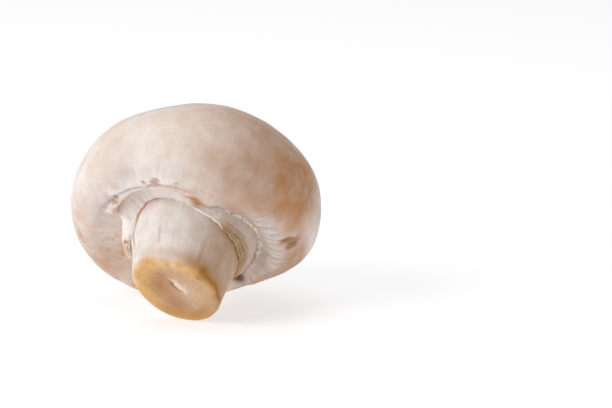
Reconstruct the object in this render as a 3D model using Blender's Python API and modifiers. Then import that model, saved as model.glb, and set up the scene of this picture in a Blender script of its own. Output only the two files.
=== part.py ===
"""Button mushroom, whole, lying on the side of its cap and on the cut end of its stem.

Each piece is modelled upright in the mushroom's own frame: +Z runs through the middle of the
cap, the origin is in the cap's widest plane and the stem hangs down. An empty then holds the
lying pose. Lengths below are millimetres and MM turns them into metres.
"""
import bpy
from math import atan2, cos, hypot, pi, radians, sin
from mathutils import Vector

MM = 0.001
GAP = 0.3  # between two pieces

# Cap: an upper and a lower elliptical arc, a rolled lip and a gill chamber round the stem.
CAP_RADIUS = 26.6
CAP_WIDEST_Z = -0.8
CAP_DOME_HEIGHT = 20.8
MARGIN_RADIUS = 19.6
MARGIN_DEPTH = 8.7
LIP_RADIUS = 15.3
LIP_Z = -7.4
LIP_ROLL = 1.1
CHAMBER_RADIUS = 19.4
CHAMBER_CORNER = 2.6
CHAMBER_CORNER_Z = -4.8
CHAMBER_CEILING_Z = -2.2
CAP_STEPS = 72

# The cap isn't round: each lobe is (how many bulges, share of the radius, direction in degrees).
# They start just outside the chamber's wall, and further in at the height of the lip.
LOBES = ((2, 0.080, -30), (3, 0.041, 4))
LOBE_START = CHAMBER_RADIUS + 0.2
LOBE_START_INSET = 3.4
LOBE_RAMP = 5.5
RIM_SHIFT = (-0.7, 1.3)

# Stem: barrel top, tapering to a slanted cut with a rounded rim and a shallow dish.
STEM_TOP_Z = 0.7
STEM_RADIUS = 12.5
STEM_TAPER_Z = -6.0
CUT_RADIUS = 9.7
CUT_Z = -23.05
CUT_DISH = 0.5
CUT_DISH_RADIUS = 3.5
CUT_RIM = 1.3
CUT_SLOPE = (-0.167, -0.133)
STEM_SHIFT_X = 0.9
STEM_STEPS = 56

# Veil: thin skin from the lip down to the stem. At one side it hangs loose as a longer skirt.
VEIL_THICKNESS = 0.8
VEIL_DROP = 1.6
SKIRT_DIRECTION = 0
SKIRT_HALF_WIDTH = 65
SKIRT_DROP = 3.0
SKIRT_GAP = 0.5
VEIL_STEPS = 72

# Gills: a thin ring under the cap's flesh with blades hanging from it.
GILL_COUNT = 48
GILL_ROOT = 1.0
GILL_DEPTH = 2.6
GILL_OUTER_RADIUS = 18.6

# The mouth of the cap, its lip and the veil hang lower on one side.
MOUTH_SAG = 1.6
MOUTH_SAG_DIRECTION = 95

# Lying pose: lean of the axis from upright, turn about the vertical, height of the frame.
LIE_LEAN = 48.5
LIE_TURN = -13.1
LIE_HEIGHT = 22.85

CAP_COLOUR = (0.80, 0.69, 0.60)
STEM_COLOUR = (0.78, 0.66, 0.55)
VEIL_COLOUR = (0.74, 0.66, 0.60)
GILL_COLOUR = (0.42, 0.27, 0.19)

SHARP_ANGLE = 50
MERGE_DISTANCE = 0.00001
FLOOR_CUTTER_SIZE = 0.2


def smooth(low, high, value):
    """Return 0 below low, 1 above high and an S-shaped ramp between them."""
    share = min(max((value - low) / (high - low), 0.0), 1.0)
    return share * share * (3.0 - 2.0 * share)


def arc(centre, radii, start, end, count):
    """Return count points of an elliptical arc in the (radius, height) plane, angles in degrees."""
    points = []
    for i in range(count):
        angle = radians(start + (end - start) * i / (count - 1))
        points.append((centre[0] + radii[0] * cos(angle), centre[1] + radii[1] * sin(angle)))
    return points


def sag(phi):
    """Return how far the mouth of the cap hangs down in the direction phi."""
    return MOUTH_SAG * 0.5 * (1.0 + cos(phi - radians(MOUTH_SAG_DIRECTION)))


def clear_scene():
    """Remove what the new file starts with."""
    for item in list(bpy.data.objects):
        bpy.data.objects.remove(item, do_unlink=True)


def new_collection(name):
    """Return a new collection linked to the scene."""
    collection = bpy.data.collections.new(name)
    bpy.context.scene.collection.children.link(collection)
    return collection


def new_material(name, colour, roughness):
    """Return a Principled material with a plain colour."""
    material = bpy.data.materials.new(name)
    material.use_nodes = True
    shader = material.node_tree.nodes["Principled BSDF"]
    shader.inputs["Base Color"].default_value = (*colour, 1.0)
    shader.inputs["Roughness"].default_value = roughness
    shader.inputs["Metallic"].default_value = 0.0
    return material


def turned(name, profile, steps, closed, collection):
    """Return an object turned from a (radius, height) profile, as a plain mesh."""
    mesh = bpy.data.meshes.new(name + "_profile")
    points = [(radius * MM, 0.0, height * MM) for radius, height in profile]
    edges = [(i, i + 1) for i in range(len(points) - 1)]
    if closed:
        edges.append((len(points) - 1, 0))
    mesh.from_pydata(points, edges, [])
    outline = bpy.data.objects.new(name + "_profile", mesh)
    collection.objects.link(outline)
    screw = outline.modifiers.new("turn", "SCREW")
    screw.axis = "Z"
    screw.steps = steps
    screw.render_steps = steps
    screw.use_merge_vertices = True
    screw.merge_threshold = MERGE_DISTANCE
    evaluated = outline.evaluated_get(bpy.context.evaluated_depsgraph_get())
    piece = bpy.data.objects.new(name, bpy.data.meshes.new_from_object(evaluated))
    piece.data.name = name
    collection.objects.link(piece)
    bpy.data.objects.remove(outline, do_unlink=True)
    return piece


def reshape(piece, rule):
    """Move every vertex of a turned piece by a rule of (radius, direction, height)."""
    for vertex in piece.data.vertices:
        x, y, z = (value / MM for value in vertex.co)
        vertex.co = Vector(rule(hypot(x, y), atan2(y, x), z)) * MM
    piece.data.update()


def finish(piece, material, lying_pose):
    """Give a piece its material, smooth shading and the shared pose."""
    piece.data.materials.clear()
    piece.data.materials.append(material)
    piece.data.shade_smooth()
    piece.data.set_sharp_from_angle(angle=radians(SHARP_ANGLE))
    piece.parent = lying_pose


def rest_flat(piece, floor_cutter):
    """Flatten the piece where it touches the surface that it lies on."""
    cut = piece.modifiers.new("rest", "BOOLEAN")
    cut.operation = "DIFFERENCE"
    cut.solver = "EXACT"
    cut.object = floor_cutter


def make_cap(collection):
    """Return the cap: dome, rolled margin, lip, gill chamber and the socket for the stem."""
    dome = arc((0.0, CAP_WIDEST_Z), (CAP_RADIUS, CAP_DOME_HEIGHT), 90, 0, 15)
    margin_radii = (CAP_RADIUS - MARGIN_RADIUS, MARGIN_DEPTH)
    margin = arc((MARGIN_RADIUS, CAP_WIDEST_Z), margin_radii, 0, -90, 9)
    lip_centre = (LIP_RADIUS + LIP_ROLL, LIP_Z - 0.2)
    lip = arc(lip_centre, (LIP_ROLL, LIP_ROLL), -115, -260, 6)
    corner_centre = (CHAMBER_RADIUS - CHAMBER_CORNER, CHAMBER_CORNER_Z)
    chamber = arc(corner_centre, (CHAMBER_CORNER, CHAMBER_CORNER), -30, 90, 5)
    socket_radius = STEM_RADIUS + STEM_SHIFT_X + GAP
    socket_top = STEM_TOP_Z + GAP
    socket = [
        (socket_radius, CHAMBER_CEILING_Z),
        (socket_radius, socket_top),
        (0.0, socket_top),
    ]
    profile = dome + margin[1:] + lip + chamber + socket
    cap = turned("cap", profile, CAP_STEPS, False, collection)

    def rule(radius, phi, z):
        """Bulge the dome by its lobes, shift its rim and let the mouth sag."""
        start = LOBE_START - LOBE_START_INSET * smooth(LIP_Z, LIP_Z - 1.6, z)
        outside = smooth(start, start + LOBE_RAMP, radius)
        above = smooth(5.0, 18.0, radius)
        high = smooth(2.0, 8.0, z)
        weight = outside + (above - outside) * high
        growth = 1.0
        for count, share, direction in LOBES:
            growth += weight * share * cos(count * (phi - radians(direction)))
        hang = sag(phi) * smooth(-3.5, LIP_Z, z) * smooth(25.0, 19.0, radius)
        x = radius * growth * cos(phi) + RIM_SHIFT[0] * weight
        y = radius * growth * sin(phi) + RIM_SHIFT[1] * weight
        return x, y, z - hang

    reshape(cap, rule)
    return cap


def make_stem(collection):
    """Return the stem: a tapering barrel with a slanted, dished cut and a rounded rim."""
    top = [(0.0, STEM_TOP_Z), (STEM_RADIUS - 0.5, STEM_TOP_Z), (STEM_RADIUS - 0.1, STEM_TOP_Z - 0.6)]
    side = []
    for i in range(9):
        share = i / 8
        z = STEM_TAPER_Z + (CUT_Z + CUT_RIM - STEM_TAPER_Z) * share
        radius = STEM_RADIUS + (CUT_RADIUS - STEM_RADIUS) * smooth(0.1, 1.15, share)
        side.append((radius, z))
    rim_centre = (side[-1][0] - CUT_RIM, CUT_Z + CUT_RIM)
    rim = arc(rim_centre, (CUT_RIM, CUT_RIM), -18, -90, 5)
    dish_z = CUT_Z + CUT_DISH
    dish = [(rim_centre[0] - 2.0, CUT_Z + 0.3 * CUT_DISH), (CUT_DISH_RADIUS, dish_z), (0.0, dish_z)]
    stem = turned("stem", top + side + rim + dish, STEM_STEPS, False, collection)

    def rule(radius, phi, z):
        """Slant the cut end."""
        x = radius * cos(phi)
        y = radius * sin(phi)
        slant = smooth(-9.0, CUT_Z + CUT_RIM, z) * (CUT_SLOPE[0] * x + CUT_SLOPE[1] * y)
        return x + STEM_SHIFT_X, y, z + slant

    reshape(stem, rule)
    return stem


def make_veil(collection):
    """Return the veil: a cone of skin from the cap's lip to the stem, with a loose skirt."""
    half = 0.5 * VEIL_THICKNESS
    outer = LIP_RADIUS - GAP
    inner = STEM_RADIUS + GAP
    top = LIP_Z + 0.6
    profile = [
        (inner + 0.1, top - VEIL_DROP + half),
        (0.5 * (inner + outer), top - 0.62 * VEIL_DROP + half),
        (outer - 0.3, top + half),
        (outer, top),
        (outer - 0.2, top - half),
        (0.5 * (inner + outer) + 0.2, top - 0.66 * VEIL_DROP - half),
        (inner, top - VEIL_DROP - half),
    ]
    veil = turned("veil", profile, VEIL_STEPS, True, collection)

    def rule(radius, phi, z):
        """Follow the sagging mouth and let the skirt hang clear of the stem."""
        turn = (phi - radians(SKIRT_DIRECTION) + pi) % (2.0 * pi) - pi
        skirt = smooth(radians(SKIRT_HALF_WIDTH), 0.4 * radians(SKIRT_HALF_WIDTH), abs(turn))
        inward = smooth(outer, inner, radius)
        new_radius = radius + inward * skirt * SKIRT_GAP
        shift = STEM_SHIFT_X * inward
        drop = sag(phi) + inward * skirt * SKIRT_DROP
        return new_radius * cos(phi) + shift, new_radius * sin(phi), z - drop

    reshape(veil, rule)
    return veil


def make_gills(collection):
    """Return the gills: one ring with thin blades that hang in the chamber."""
    inner = STEM_RADIUS + STEM_SHIFT_X + 2.0 * GAP
    root_top = CHAMBER_CEILING_Z - GAP
    root_low = root_top - GILL_ROOT
    outer = GILL_OUTER_RADIUS
    width = outer - inner
    high_edge = [(inner, root_top), (outer - 1.6, root_top), (outer - 0.3, root_low + 0.1)]
    low_edge = [(outer - 0.6, root_low), (inner + 0.5 * width, root_low), (inner, root_low)]
    gills = turned("gills", high_edge + low_edge, 4 * GILL_COUNT, True, collection)
    pitch = 2.0 * pi / GILL_COUNT

    def rule(radius, phi, z):
        """Turn every other pair of low points into the edge of a blade."""
        place = (phi / pitch) % 1.0
        blade = 0.125 < place < 0.625
        centre = (phi // pitch + 0.375) * pitch
        angle = phi
        if z < root_low + 0.05 and blade:
            arch = 1.0 - ((radius - inner) / width) ** 2
            angle = centre + (phi - centre) * 0.5
            z = root_low - GILL_DEPTH * (0.25 + 0.75 * arch)
        return radius * cos(angle), radius * sin(angle), z

    reshape(gills, rule)
    return gills


def make_floor_cutter(collection):
    """Return the wire block below the surface that the mushroom lies on."""
    bpy.ops.mesh.primitive_cube_add(size=FLOOR_CUTTER_SIZE, location=(0.0, 0.0, -0.5 * FLOOR_CUTTER_SIZE))
    cutter = bpy.context.object
    cutter.name = "floor_cutter"
    cutter.hide_render = True
    cutter.display_type = "WIRE"
    for owner in list(cutter.users_collection):
        owner.objects.unlink(cutter)
    collection.objects.link(cutter)
    return cutter


def centre_on_origin(pieces, lying_pose):
    """Slide the pose until the bounding box is centred over the origin."""
    bpy.context.view_layer.update()
    graph = bpy.context.evaluated_depsgraph_get()
    corners = []
    for piece in pieces:
        evaluated = piece.evaluated_get(graph)
        corners += [evaluated.matrix_world @ vertex.co for vertex in evaluated.data.vertices]
    for axis in (0, 1):
        values = [corner[axis] for corner in corners]
        lying_pose.location[axis] -= 0.5 * (min(values) + max(values))


def main():
    """Build the four pieces in the lying pose, flat where they rest and centred over the origin."""
    clear_scene()
    mushroom = new_collection("button_mushroom")
    cutters = new_collection("cutters")
    lying_pose = bpy.data.objects.new("lying_pose", None)
    mushroom.objects.link(lying_pose)
    lying_pose.rotation_euler = (radians(-LIE_LEAN), 0.0, radians(LIE_TURN))
    lying_pose.location = (0.0, 0.0, LIE_HEIGHT * MM)

    cap = make_cap(mushroom)
    stem = make_stem(mushroom)
    veil = make_veil(mushroom)
    gills = make_gills(mushroom)
    finish(cap, new_material("cap_skin", CAP_COLOUR, 0.55), lying_pose)
    finish(stem, new_material("stem_flesh", STEM_COLOUR, 0.65), lying_pose)
    finish(veil, new_material("veil_skin", VEIL_COLOUR, 0.7), lying_pose)
    finish(gills, new_material("gill_brown", GILL_COLOUR, 0.75), lying_pose)

    floor_cutter = make_floor_cutter(cutters)
    rest_flat(cap, floor_cutter)
    rest_flat(stem, floor_cutter)
    centre_on_origin((cap, stem, veil, gills), lying_pose)


main()
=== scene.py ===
"""A whole button mushroom lying on the side of its cap and on its cut stem.

Every piece is shaped upright in the mushroom's own frame, in millimetres: +Z runs up through
the middle of the cap, and phi turns about it in degrees. In the lying pose phi = -90 faces up
and forward, phi = 0 points to the row's +X side and phi = 90 lies on the floor. lay_down()
turns the finished shape into the row frame, in metres.
"""

from math import radians

import bpy
import numpy as np
from mathutils import Euler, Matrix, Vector


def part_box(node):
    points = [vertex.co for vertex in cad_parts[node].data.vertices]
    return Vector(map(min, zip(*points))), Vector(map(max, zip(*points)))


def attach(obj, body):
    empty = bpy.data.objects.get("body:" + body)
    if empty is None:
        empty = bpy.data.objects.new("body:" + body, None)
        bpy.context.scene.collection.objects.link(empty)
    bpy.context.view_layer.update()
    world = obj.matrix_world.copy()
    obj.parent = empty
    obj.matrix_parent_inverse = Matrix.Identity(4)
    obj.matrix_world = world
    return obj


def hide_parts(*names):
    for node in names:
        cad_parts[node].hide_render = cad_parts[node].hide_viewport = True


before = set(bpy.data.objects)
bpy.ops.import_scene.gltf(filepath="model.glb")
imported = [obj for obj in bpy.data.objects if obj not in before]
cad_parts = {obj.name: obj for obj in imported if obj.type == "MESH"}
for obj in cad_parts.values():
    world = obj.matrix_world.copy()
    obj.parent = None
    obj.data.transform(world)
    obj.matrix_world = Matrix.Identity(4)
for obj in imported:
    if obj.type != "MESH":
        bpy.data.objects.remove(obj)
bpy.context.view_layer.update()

MM = 0.001

# Cap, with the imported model's sizes.
CAP_RADIUS = 26.6
CAP_WIDEST_Z = -0.8
CAP_DOME_HEIGHT = 20.8
MARGIN_RADIUS = 19.6
MARGIN_DEPTH = 8.7
LIP_RADIUS = 15.3
LIP_Z = -7.4
LIP_ROLL = 1.1
CHAMBER_RADIUS = 19.4
CHAMBER_CORNER = 2.6
CHAMBER_CORNER_Z = -4.8
CHAMBER_CEILING_Z = -2.2

# The cap isn't round: each lobe is (how many bulges, share of the radius, direction in degrees).
# They start just outside the chamber's wall, and further in at the height of the lip.
LOBES = ((2, 0.080, -30), (3, 0.041, 4))
LOBE_START = CHAMBER_RADIUS + 0.2
LOBE_START_INSET = 3.4
LOBE_RAMP = 5.5
RIM_SHIFT = (-0.7, 1.3)
MOUTH_SAG = 1.6
MOUTH_SAG_DIRECTION = 95

# Stem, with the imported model's sizes. Only the rim of its cut is a little rounder.
STEM_TOP_Z = 0.7
STEM_RADIUS = 12.5
STEM_TAPER_Z = -6.0
CUT_RADIUS = 9.7
CUT_Z = -23.05
CUT_RIM = 1.5
CUT_SLOPE = (-0.167, -0.133)
STEM_SHIFT_X = 0.9
GAP = 0.3

# Lying pose: lean of the axis from upright, turn about the vertical, height of the frame.
LIE_LEAN = 48.5
LIE_TURN = -13.1
LIE_HEIGHT = 22.85
FLOOR_CLEARANCE = 0.02

# Camera: elevation in degrees, lens and sensor in millimetres, distance to the aim point.
VIEW_ELEVATION = 12.2
VIEW_LENS = 126.0
VIEW_SENSOR = 36.0
VIEW_DISTANCE = 459.0
VIEW_AIM = (23.8, -1.2, 22.4)

# The floor is a lit white table: it glows a little, as well as reflecting.
FLOOR_SIZE = 12.0
FLOOR_GLOW = 0.60
SKY_STRENGTH = 0.42

# Flesh lets light in: how far red, green and blue go, and how shiny the surface is.
FLESH_SCATTER = (1.0, 0.62, 0.42)
FLESH_SPECULAR = 0.35
HAIR_SPECULAR = 0.2

# Large odd factors that scatter the whole-number corners of the noise.
NOISE_FACTORS = (374761393, 668265263, 1440662683, 974711)
NOISE_SCATTER = 1274126177


# ---------------- numbers

def smooth(low, high, value):
    """Return 0 below low, 1 above high and an S-shaped ramp between them."""
    share = np.clip((value - low) / (high - low), 0.0, 1.0)
    return share * share * (3.0 - 2.0 * share)


def bell(value, width):
    """Return a bell of height 1 about zero."""
    return np.exp(-(value / width) ** 2)


def turn(phi, centre):
    """Return the signed turn from centre to phi, in degrees from -180 to 180."""
    return (phi - centre + 180.0) % 360.0 - 180.0


def hump(phi, centre, width):
    """Return a bell of height 1 about a direction."""
    return bell(turn(phi, centre), width)


def span(phi, start, end, edge):
    """Return 1 between two directions, with soft edges."""
    middle = 0.5 * (start + end)
    half = 0.5 * (end - start)
    return 1.0 - smooth(half - edge, half + edge, np.abs(turn(phi, middle)))


def spots(points, table):
    """Return the sum of round soft spots, each given as (strength, centre, radius)."""
    total = 0.0
    for strength, centre, radius in table:
        away = points - np.array(centre)
        total = total + strength * np.exp(-(away ** 2).sum(-1) / radius ** 2)
    return total


def corner_value(x, y, z, seed):
    """Return a repeatable number from -1 to 1 for each whole-number corner."""
    mixed = sum(part * factor for part, factor in zip((x, y, z, seed), NOISE_FACTORS)) & 0xFFFFFFFF
    mixed = ((mixed ^ (mixed >> 13)) * NOISE_SCATTER) & 0xFFFFFFFF
    return ((mixed ^ (mixed >> 16)) & 0xFFFF) / 32767.5 - 1.0


def noise(points, seed=0):
    """Return smooth noise from -1 to 1 at each point, with features about 1 unit across."""
    cell = np.floor(points).astype(np.int64)
    part = points - cell
    ease = part * part * (3.0 - 2.0 * part)
    total = 0.0
    for dx in (0, 1):
        for dy in (0, 1):
            for dz in (0, 1):
                share = np.where(dx, ease[..., 0], 1.0 - ease[..., 0])
                share = share * np.where(dy, ease[..., 1], 1.0 - ease[..., 1])
                share = share * np.where(dz, ease[..., 2], 1.0 - ease[..., 2])
                total = total + share * corner_value(
                    cell[..., 0] + dx, cell[..., 1] + dy, cell[..., 2] + dz, seed)
    return total


def rough(points, octaves=3, seed=0):
    """Return noise with finer layers added."""
    total = 0.0
    size = 1.0
    for layer in range(octaves):
        total = total + size * noise(points * 2.0 ** layer, seed + layer)
        size *= 0.5
    return total


def streaks(phi, length, around, pitch, seed):
    """Return noise drawn out along a length: narrow round phi, pitch long the other way."""
    angle = np.radians(phi)
    return noise(np.stack([np.cos(angle) * around, np.sin(angle) * around, length / pitch], -1), seed)


def ripple(phi, around, seed):
    """Return noise that changes round phi only."""
    return streaks(phi, phi * 0.0, around, 1.0, seed)


def fibre_lines(phi, around, length):
    """Return the coordinates that a material's fibres follow: fine round phi, slow along length."""
    angle = np.radians(phi)
    return np.stack([np.cos(angle) * around, np.sin(angle) * around, length], -1)


def along(table, phi):
    """Return a value that eases from one (direction, value) pair of a table to the next, all round."""
    turns = np.array([row[0] for row in table] + [table[0][0] + 360.0])
    values = np.array([row[1] for row in table] + [table[0][1]], float)
    place = (phi - turns[0]) % 360.0 + turns[0]
    index = np.clip(np.searchsorted(turns, place, "right") - 1, 0, len(turns) - 2)
    share = smooth(0.0, 1.0, (place - turns[index]) / (turns[index + 1] - turns[index]))
    return values[index] + (values[index + 1] - values[index]) * share


def arc(centre, radii, start, end, count):
    """Return points of an elliptical arc in the (radius, height) plane, angles in degrees."""
    angle = np.radians(np.linspace(start, end, count))
    return np.stack([centre[0] + radii[0] * np.cos(angle), centre[1] + radii[1] * np.sin(angle)], -1)


def line(start, end, count):
    """Return points from start up to but not with end."""
    share = np.linspace(0.0, 1.0, count, endpoint=False)[:, None]
    return np.array(start) + (np.array(end) - np.array(start)) * share


def sag(phi):
    """Return how far the mouth of the cap hangs down in the direction phi."""
    return MOUTH_SAG * 0.5 * (1.0 + np.cos(np.radians(phi - MOUTH_SAG_DIRECTION)))


# ---------------- meshes

def sweep(profile, columns):
    """Return (radius, phi, z) grids of a profile turned about the axis."""
    phi = np.linspace(-180.0, 180.0, columns, endpoint=False)
    radius = np.repeat(profile[:, :1], columns, 1)
    height = np.repeat(profile[:, 1:], columns, 1)
    return radius, np.repeat(phi[None, :], len(profile), 0), height


def to_points(radius, phi, z):
    """Return x, y, z points of cylindrical grids."""
    angle = np.radians(phi)
    return np.stack([radius * np.cos(angle), radius * np.sin(angle), z], -1)


def normals(points):
    """Return the outward normals of a grid whose rows run down its outer side."""
    down = np.gradient(points, axis=0)
    across = np.roll(points, -1, 1) - np.roll(points, 1, 1)
    normal = np.cross(down, across)
    length = np.linalg.norm(normal, axis=-1, keepdims=True)
    return normal / np.maximum(length, 1e-9)


def lying_matrix():
    """Return the rotation of the lying pose."""
    pose = Euler((radians(-LIE_LEAN), 0.0, radians(LIE_TURN)), "XYZ")
    return np.array(pose.to_matrix())


def lay_down(points):
    """Turn points of the mushroom's own frame, in mm, into the row frame, in metres."""
    placed = points @ lying_matrix().T + POSE_SHIFT
    placed[..., 2] = np.maximum(placed[..., 2], FLOOR_CLEARANCE)
    return placed * MM


def make_object(name, points, faces, masks, vectors, material, nodes):
    """Make a mesh piece from points in the mushroom's own frame and hang it on the frame.

    Its material reads the masks, from 0 to 1, the vectors, and grain, which is the point itself.
    """
    mesh = bpy.data.meshes.new(name)
    mesh.from_pydata(lay_down(points).tolist(), [], faces)
    for mask_name, values in masks.items():
        layer = mesh.attributes.new(mask_name, "FLOAT", "POINT")
        layer.data.foreach_set("value", np.clip(values, 0.0, 1.0).astype(np.float32))
    for vector_name, values in {"grain": points, **vectors}.items():
        layer = mesh.attributes.new(vector_name, "FLOAT_VECTOR", "POINT")
        layer.data.foreach_set("vector", values.astype(np.float32).ravel())
    mesh.shade_smooth()
    mesh.materials.append(material)
    piece = bpy.data.objects.new(name, mesh)
    bpy.context.scene.collection.objects.link(piece)
    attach(piece, "root")
    if nodes:
        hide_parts(*nodes)
    return piece


def grid_piece(node, points, closed, masks, vectors):
    """Make the piece that stands for a node, from a closed loop of rings or a body with two poles."""
    rows, columns = points.shape[:2]
    if closed:
        upper = np.arange(rows * columns).reshape(rows, columns)
        lower = np.roll(upper, -1, 0)
        keep = np.ones(rows * columns, bool)
        poles = []
    else:
        index = 1 + np.arange((rows - 2) * columns).reshape(rows - 2, columns)
        upper = index[:-1]
        lower = index[1:]
        last = 1 + (rows - 2) * columns
        keep = np.zeros((rows, columns), bool)
        keep[1:-1] = True
        keep[0, 0] = True
        keep[-1, 0] = True
        keep = keep.ravel()
        poles = [(0, a, b) for a, b in zip(index[0], np.roll(index[0], -1))]
        poles += [(last, b, a) for a, b in zip(index[-1], np.roll(index[-1], -1))]
    quads = np.stack([upper, lower, np.roll(lower, -1, 1), np.roll(upper, -1, 1)], -1)
    faces = quads.reshape(-1, 4).tolist() + [tuple(int(v) for v in face) for face in poles]
    kept_masks = {key: values.ravel()[keep] for key, values in masks.items()}
    kept_vectors = {key: values.reshape(-1, 3)[keep] for key, values in vectors.items()}
    return make_object(
        "mushroom_" + node, points.reshape(-1, 3)[keep], faces, kept_masks, kept_vectors,
        MATERIALS[node], (node,))


# ---------------- materials

class Shader:
    """A material's node tree with short calls for the nodes that it needs."""

    def __init__(self, name):
        self.material = bpy.data.materials.new(name)
        self.material.use_nodes = True
        self.tree = self.material.node_tree
        self.out = self.tree.nodes["Principled BSDF"]

    def put(self, socket, value):
        """Link a socket, or set its value when value is a number or a colour."""
        if isinstance(value, bpy.types.NodeSocket):
            self.tree.links.new(value, socket)
        elif isinstance(value, tuple) and len(value) == 3 and socket.type == "RGBA":
            socket.default_value = (*value, 1.0)
        else:
            socket.default_value = value

    def attribute(self, name, output="Fac"):
        """Return a mesh attribute."""
        node = self.tree.nodes.new("ShaderNodeAttribute")
        node.attribute_name = name
        return node.outputs[output]

    def math(self, operation, first, second):
        """Return the result of a Math node."""
        node = self.tree.nodes.new("ShaderNodeMath")
        node.operation = operation
        self.put(node.inputs[0], first)
        self.put(node.inputs[1], second)
        return node.outputs[0]

    def multiply(self, first, second):
        """Return a product."""
        return self.math("MULTIPLY", first, second)

    def blend(self, first, first_share, second, second_share):
        """Return a weighted sum of two values."""
        return self.math("ADD", self.multiply(first, first_share), self.multiply(second, second_share))

    def noise(self, scale, detail=3.0, stretch=(1.0, 1.0, 1.0), roughness=0.55, vector="grain"):
        """Return noise from 0 to 1 over a vector attribute; grain is in millimetres."""
        mapping = self.tree.nodes.new("ShaderNodeMapping")
        mapping.inputs["Scale"].default_value = stretch
        self.put(mapping.inputs["Vector"], self.attribute(vector, "Vector"))
        node = self.tree.nodes.new("ShaderNodeTexNoise")
        self.put(node.inputs["Vector"], mapping.outputs["Vector"])
        node.inputs["Scale"].default_value = scale
        node.inputs["Detail"].default_value = detail
        node.inputs["Roughness"].default_value = roughness
        return node.outputs["Fac"]

    def ramp(self, value, low, high, first=0.0, last=1.0):
        """Return value mapped from low..high to first..last, with soft ends."""
        node = self.tree.nodes.new("ShaderNodeMapRange")
        node.interpolation_type = "SMOOTHSTEP"
        self.put(node.inputs["Value"], value)
        self.put(node.inputs["From Min"], low)
        self.put(node.inputs["From Max"], high)
        self.put(node.inputs["To Min"], first)
        self.put(node.inputs["To Max"], last)
        return node.outputs["Result"]

    def mix(self, share, first, second):
        """Return a colour between two. A Mix node's colours are its sockets 6 and 7 in, 2 out."""
        node = self.tree.nodes.new("ShaderNodeMix")
        node.data_type = "RGBA"
        self.put(node.inputs[0], share)
        self.put(node.inputs[6], first)
        self.put(node.inputs[7], second)
        return node.outputs[2]

    def stain(self, below, *layers):
        """Return the colour below with each (mask, colour) layer over it where its mask is 1."""
        for mask, colour in layers:
            below = self.mix(self.attribute(mask), below, colour)
        return below

    def finish(self, colour, roughness, height, depth_mm, soft, strength=1.0, reach_mm=1.4):
        """Set the surface: colour, roughness, bump height and softness to light."""
        self.put(self.out.inputs["Base Color"], colour)
        self.put(self.out.inputs["Roughness"], roughness)
        bump = self.tree.nodes.new("ShaderNodeBump")
        bump.inputs["Distance"].default_value = depth_mm * MM
        bump.inputs["Strength"].default_value = strength
        self.put(bump.inputs["Height"], height)
        self.put(self.out.inputs["Normal"], bump.outputs["Normal"])
        self.out.inputs["Subsurface Weight"].default_value = soft
        self.out.inputs["Subsurface Radius"].default_value = FLESH_SCATTER
        self.out.inputs["Subsurface Scale"].default_value = reach_mm * MM
        self.out.inputs["Specular IOR Level"].default_value = FLESH_SPECULAR
        return self.material


def srgb(red, green, blue):
    """Return a display colour, 0 to 255, as a linear colour."""
    values = []
    for part in (red, green, blue):
        part = part / 255.0
        values.append(part / 12.92 if part <= 0.04045 else ((part + 0.055) / 1.055) ** 2.4)
    return tuple(values)


def cap_material():
    """Silky cream skin with tan and golden patches, a greyish underside and cottony tufts. Part of the
    tan, the greyish colour of the underside and the dark between the tufts are painted shade.
    """
    shader = Shader("cap_skin")
    large = shader.noise(0.09, 4.0)
    middle = shader.noise(0.26, 3.0, roughness=0.5)
    patch = shader.noise(0.16, 3.0, stretch=(1.0, 1.2, 0.8))
    fine = shader.noise(1.6, 4.0)
    speck = shader.noise(0.42, 3.0)
    fibre = shader.noise(1.0, 3.0, vector="fibre")

    skin = shader.mix(shader.ramp(large, 0.35, 0.65), srgb(235, 227, 220), srgb(228, 213, 202))
    skin = shader.mix(shader.ramp(middle, 0.38, 0.80, 0.0, 0.60), skin, srgb(221, 193, 174))
    skin = shader.mix(shader.ramp(patch, 0.45, 0.72, 0.0, 0.42), skin, srgb(216, 187, 168))
    skin = shader.mix(shader.ramp(speck, 0.40, 0.80, 0.0, 0.22), skin, srgb(212, 176, 148))

    tan = shader.multiply(shader.attribute("tan"), shader.ramp(middle, 0.2, 0.75, 0.70, 1.0))
    gold = shader.multiply(shader.attribute("gold"), shader.ramp(middle, 0.25, 0.7, 0.45, 1.0))
    specks = shader.multiply(shader.ramp(speck, 0.46, 0.70, 0.0, 0.9), shader.attribute("speckled"))
    # The tan layer holds real tan and also painted shade: on the side away from the light, at the
    # underside's rim and beside the stem.
    colour = shader.mix(tan, skin, srgb(188, 151, 125))
    colour = shader.mix(gold, colour, srgb(187, 129, 73))
    # This layer is painted shade on the shaded underside and in the groove beside the lip.
    colour = shader.stain(colour, ("lilac_shade", srgb(198, 184, 180)))
    colour = shader.mix(specks, colour, srgb(198, 152, 108))

    # White strands with painted shade between them.
    tufts = shader.mix(shader.ramp(fibre, 0.36, 0.62), srgb(178, 166, 157), srgb(232, 227, 224))
    strands = shader.multiply(shader.ramp(fibre, 0.38, 0.62), shader.attribute("under"))
    colour = shader.stain(colour, ("white", srgb(240, 233, 230)), ("cotton", tufts))
    colour = shader.mix(shader.multiply(strands, 0.20), colour, srgb(180, 156, 142))
    # The dark layer covers real pits, scar and hole, and painted shade at the underside's rim and next to
    # the lip.
    colour = shader.stain(colour, ("orange", srgb(200, 138, 86)), ("pit_and_shade", srgb(124, 84, 40)))
    silky = shader.mix(shader.ramp(fibre, 0.3, 0.7, 0.0, 0.05), colour, srgb(250, 243, 238))
    height = shader.blend(fine, 0.35, fibre, 0.65)
    return shader.finish(silky, shader.ramp(middle, 0.3, 0.7, 0.5, 0.64), height, 0.10, 0.22, 0.38)


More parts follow.
